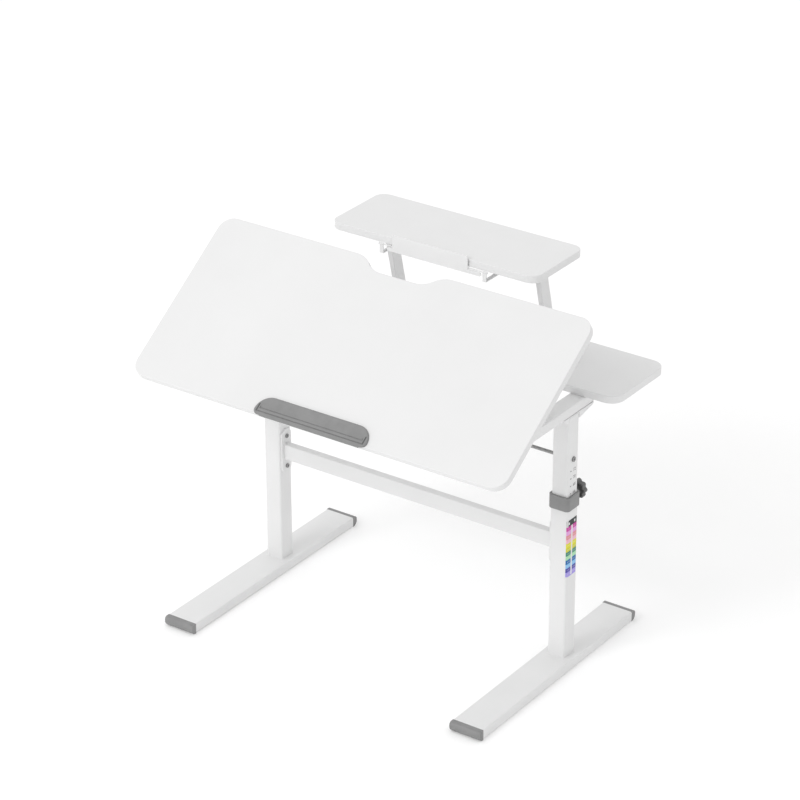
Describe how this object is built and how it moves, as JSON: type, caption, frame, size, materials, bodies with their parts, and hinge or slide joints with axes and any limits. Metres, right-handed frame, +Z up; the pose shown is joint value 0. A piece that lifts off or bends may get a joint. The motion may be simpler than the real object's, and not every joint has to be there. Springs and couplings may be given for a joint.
{
  "type": "tilting drawing desk",
  "caption": "Height-adjustable drawing desk with a tilting top, a fixed rear shelf, a riser with a fold-down book lip and T-shaped feet.",
  "frame": {"origin": "on the floor, under the middle of the object's box", "axes": "+X to the user's right along the width, +Y towards the back, +Z up"},
  "size_m": [1, 0.6768, 0.9172],
  "materials": {
    "white_laminate": "white melamine laminate, satin",
    "white_steel": "white powder coat, satin",
    "grey_plastic": "moulded grey plastic, matt",
    "grey_rubber": "soft grey elastomer, matt",
    "black_plastic": "moulded plastic, matt",
    "zinc_steel": "zinc plated",
    "printed_label": "printed film"
  },
  "bodies": {
    "base": {"clamp_nuts": "zinc_steel", "crossbar": "white_steel", "crossbar_bolts": "zinc_steel", "crossbar_rivet_nuts": "zinc_steel", "foot_bolts": "zinc_steel", "growth_chart_label": "printed_label", "left_collar": "grey_plastic", "left_crossbar_plate": "white_steel", "left_foot": "white_steel", "left_front_foot_cap": "grey_plastic", "left_outer_post": "white_steel", "left_rear_foot_cap": "grey_plastic", "post_base_plates": "white_steel", "right_collar": "grey_plastic", "right_crossbar_plate": "white_steel", "right_foot": "white_steel", "right_front_foot_cap": "grey_plastic", "right_outer_post": "white_steel", "right_rear_foot_cap": "grey_plastic"},
    "upper_frame": {"arm_rear_caps": "black_plastic", "left_arm": "white_steel", "left_arm_nose": "white_steel", "left_inner_post": "white_steel", "left_lip_bracket": "white_steel", "left_riser_leg": "white_steel", "left_saddle": "white_steel", "post_glides": "black_plastic", "rear_shelf": "white_laminate", "right_arm": "white_steel", "right_arm_nose": "white_steel", "right_inner_post": "white_steel", "right_lip_bracket": "white_steel", "right_riser_leg": "white_steel", "right_saddle": "white_steel", "riser_screws": "zinc_steel", "riser_shelf": "white_laminate", "saddle_bolts": "zinc_steel", "shelf_screws": "zinc_steel", "tie_rod": "zinc_steel", "tie_rod_bolts": "zinc_steel"},
    "tilting_top": {"hinge_pins": "zinc_steel", "ledge_screws": "zinc_steel", "left_hinge_plate": "white_steel", "left_hinge_rail": "white_steel", "pencil_ledge": "grey_rubber", "rail_screws": "zinc_steel", "right_hinge_plate": "white_steel", "right_hinge_rail": "white_steel", "stay_pivot_pins": "zinc_steel", "tabletop": "white_laminate"},
    "left_stay_arm": {"left_stay": "zinc_steel", "left_stay_tip_pin": "zinc_steel"},
    "right_stay_arm": {"right_stay": "zinc_steel", "right_stay_tip_pin": "zinc_steel"},
    "lip": {"book_lip": "white_steel", "lip_rod": "white_steel"},
    "left_knob": {"left_clamp_knob": "grey_plastic", "left_clamp_stud": "zinc_steel"},
    "right_knob": {"right_clamp_knob": "grey_plastic", "right_clamp_stud": "zinc_steel"}
  },
  "joints": [
    {"name": "height_slide", "type": "slide", "parent": "base", "child": "upper_frame", "axis": [0, 0, 1], "range_m": [-0.075, 0.1]},
    {"name": "top_tilt", "type": "hinge", "parent": "upper_frame", "child": "tilting_top", "pos_m": [0, -0.2808, 0.648], "axis": [1, 0, 0], "range_deg": [-34.9, 5.1]},
    {"name": "left_stay_swing", "type": "hinge", "parent": "tilting_top", "child": "left_stay_arm", "pos_m": [-0.375, -0.15778, 0.73382], "axis": [1, 0, 0], "range_deg": [-10.2, 69.8]},
    {"name": "right_stay_swing", "type": "hinge", "parent": "tilting_top", "child": "right_stay_arm", "pos_m": [0.375, -0.15778, 0.73382], "axis": [1, 0, 0], "range_deg": [-10.2, 69.8]},
    {"name": "lip_fold", "type": "hinge", "parent": "upper_frame", "child": "lip", "pos_m": [0, 0.133, 0.8862], "axis": [1, 0, 0], "range_deg": [0, 90]},
    {"name": "left_knob_turn", "type": "hinge", "parent": "base", "child": "left_knob", "pos_m": [-0.4, 0.0783, 0.425], "axis": [0, 1, 0], "range_deg": [0, 360]},
    {"name": "right_knob_turn", "type": "hinge", "parent": "base", "child": "right_knob", "pos_m": [0.4, 0.0783, 0.425], "axis": [0, 1, 0], "range_deg": [0, 360]}
  ],
  "couplings": [
    {"joint": "left_stay_swing", "follows": "top_tilt", "ratio": -2},
    {"joint": "right_stay_swing", "follows": "top_tilt", "ratio": -2}
  ]
}
